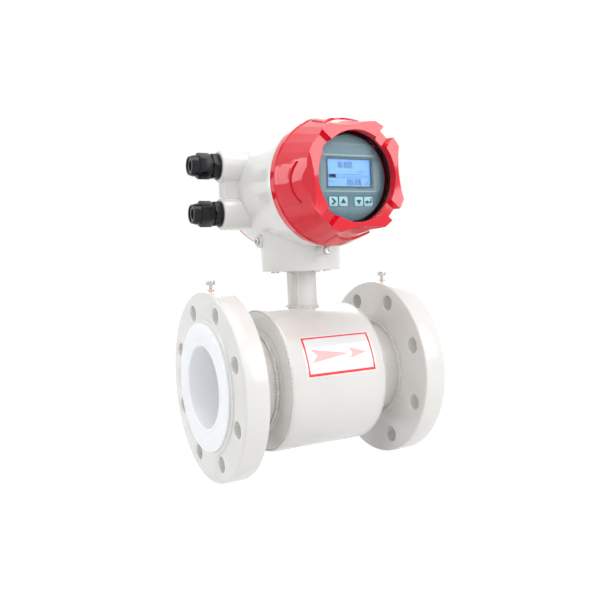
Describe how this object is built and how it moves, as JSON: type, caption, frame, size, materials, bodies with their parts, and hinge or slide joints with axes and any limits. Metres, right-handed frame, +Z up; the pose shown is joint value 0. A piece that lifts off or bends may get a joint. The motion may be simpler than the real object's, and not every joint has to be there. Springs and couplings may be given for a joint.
{
  "type": "electromagnetic flow meter",
  "caption": "Flanged, lined measuring tube in a coil housing with a display head on a neck: measures the flow of a conductive liquid in a pipe.",
  "frame": {"origin": "middle of the flow bore, under the neck", "axes": "+X along the bore in the direction of flow, -Y out of the display, +Z up the neck to the head"},
  "size_m": [0.27, 0.2432, 0.4107],
  "materials": {
    "enamel": "gloss",
    "red_paint": "gloss",
    "lining": "satin",
    "steel": "satin",
    "magnet_iron": "matte",
    "copper": "satin",
    "brass": "satin",
    "black_plastic": "satin",
    "pale_rubber": "matte",
    "black_rubber": "matte",
    "bush_plastic": "satin",
    "glass": "clear",
    "panel_plastic": "satin",
    "screen": "gloss",
    "key_plastic": "satin",
    "circuit_board": "satin"
  },
  "bodies": {
    "meter": {"board_pillars": "steel", "cover_lock_screw": "steel", "display_board": "circuit_board", "display_housing": "black_plastic", "display_panel": "panel_plastic", "electrode_bushes": "bush_plastic", "electrode_nuts": "steel", "front_electrode": "steel", "head_base_screws": "steel", "head_body": "enamel", "head_earth_screw": "steel", "head_gasket": "black_rubber", "housing_shell": "enamel", "inlet_earth_screw": "steel", "inlet_earth_washer": "brass", "inlet_end_plate": "enamel", "inlet_flange": "enamel", "inlet_liner_rim": "lining", "lcd_module": "screen", "liner": "lining", "lower_coil": "copper", "lower_gland_body": "black_plastic", "lower_gland_washer": "black_rubber", "lower_pole_shoe": "magnet_iron", "main_board": "circuit_board", "measuring_tube": "enamel", "neck_flange": "enamel", "neck_plug": "black_rubber", "neck_tube": "enamel", "outlet_earth_screw": "steel", "outlet_earth_washer": "brass", "outlet_end_plate": "enamel", "outlet_flange": "enamel", "outlet_liner_rim": "lining", "power_board": "circuit_board", "rear_electrode": "steel", "return_yoke": "magnet_iron", "terminal_block": "black_plastic", "terminal_screws": "steel", "upper_coil": "copper", "upper_gland_body": "black_plastic", "upper_gland_washer": "black_rubber", "upper_pole_shoe": "magnet_iron"},
    "front_seal_ring": {"front_seal": "black_rubber"},
    "front_cover": {"front_cover": "red_paint", "glass_gasket": "black_rubber", "window_glass": "glass", "glass_retaining_ring": "steel"},
    "rear_seal_ring": {"rear_seal": "black_rubber"},
    "rear_cover": {"rear_cover": "red_paint"},
    "upper_gland_insert": {"upper_gland_seal": "pale_rubber"},
    "upper_gland_nut": {"upper_gland_nut": "black_plastic"},
    "lower_gland_insert": {"lower_gland_seal": "pale_rubber"},
    "lower_gland_nut": {"lower_gland_nut": "black_plastic"},
    "key_shift": {"key_shift": "key_plastic"},
    "key_up": {"key_up": "key_plastic"},
    "key_down": {"key_down": "key_plastic"},
    "key_enter": {"key_enter": "key_plastic"}
  },
  "joints": [
    {"name": "front_cover_slide", "type": "slide", "parent": "meter", "child": "front_seal_ring", "axis": [0, -1, 0], "range_m": [0, 0.012]},
    {"name": "front_cover_turn", "type": "hinge", "parent": "front_seal_ring", "child": "front_cover", "pos_m": [0, 0, 0.2283], "axis": [0, -1, 0], "range_deg": [0, 2160]},
    {"name": "rear_cover_slide", "type": "slide", "parent": "meter", "child": "rear_seal_ring", "axis": [0, 1, 0], "range_m": [0, 0.012]},
    {"name": "rear_cover_turn", "type": "hinge", "parent": "rear_seal_ring", "child": "rear_cover", "pos_m": [0, 0, 0.2283], "axis": [0, 1, 0], "range_deg": [0, 2160]},
    {"name": "upper_nut_slide", "type": "slide", "parent": "meter", "child": "upper_gland_insert", "axis": [-1, 0, 0], "range_m": [0, 0.0045]},
    {"name": "upper_nut_turn", "type": "hinge", "parent": "upper_gland_insert", "child": "upper_gland_nut", "pos_m": [-0.115, 0.03, 0.2564], "axis": [-1, 0, 0], "range_deg": [0, 1080]},
    {"name": "lower_nut_slide", "type": "slide", "parent": "meter", "child": "lower_gland_insert", "axis": [-1, 0, 0], "range_m": [0, 0.0045]},
    {"name": "lower_nut_turn", "type": "hinge", "parent": "lower_gland_insert", "child": "lower_gland_nut", "pos_m": [-0.115, 0.03, 0.2002], "axis": [-1, 0, 0], "range_deg": [0, 1080]},
    {"name": "key_shift_press", "type": "slide", "parent": "meter", "child": "key_shift", "axis": [0, 1, 0], "range_m": [0, 0.0006], "stiffness_N_per_m": 1500},
    {"name": "key_up_press", "type": "slide", "parent": "meter", "child": "key_up", "axis": [0, 1, 0], "range_m": [0, 0.0006], "stiffness_N_per_m": 1500},
    {"name": "key_down_press", "type": "slide", "parent": "meter", "child": "key_down", "axis": [0, 1, 0], "range_m": [0, 0.0006], "stiffness_N_per_m": 1500},
    {"name": "key_enter_press", "type": "slide", "parent": "meter", "child": "key_enter", "axis": [0, 1, 0], "range_m": [0, 0.0006], "stiffness_N_per_m": 1500}
  ],
  "couplings": [
    {"joint": "front_cover_slide", "follows": "front_cover_turn", "m_per_rad": 0.0003183},
    {"joint": "rear_cover_slide", "follows": "rear_cover_turn", "m_per_rad": 0.0003183},
    {"joint": "upper_nut_turn", "follows": "upper_nut_slide", "rad_per_m": 4188.7},
    {"joint": "lower_nut_turn", "follows": "lower_nut_slide", "rad_per_m": 4188.7}
  ]
}
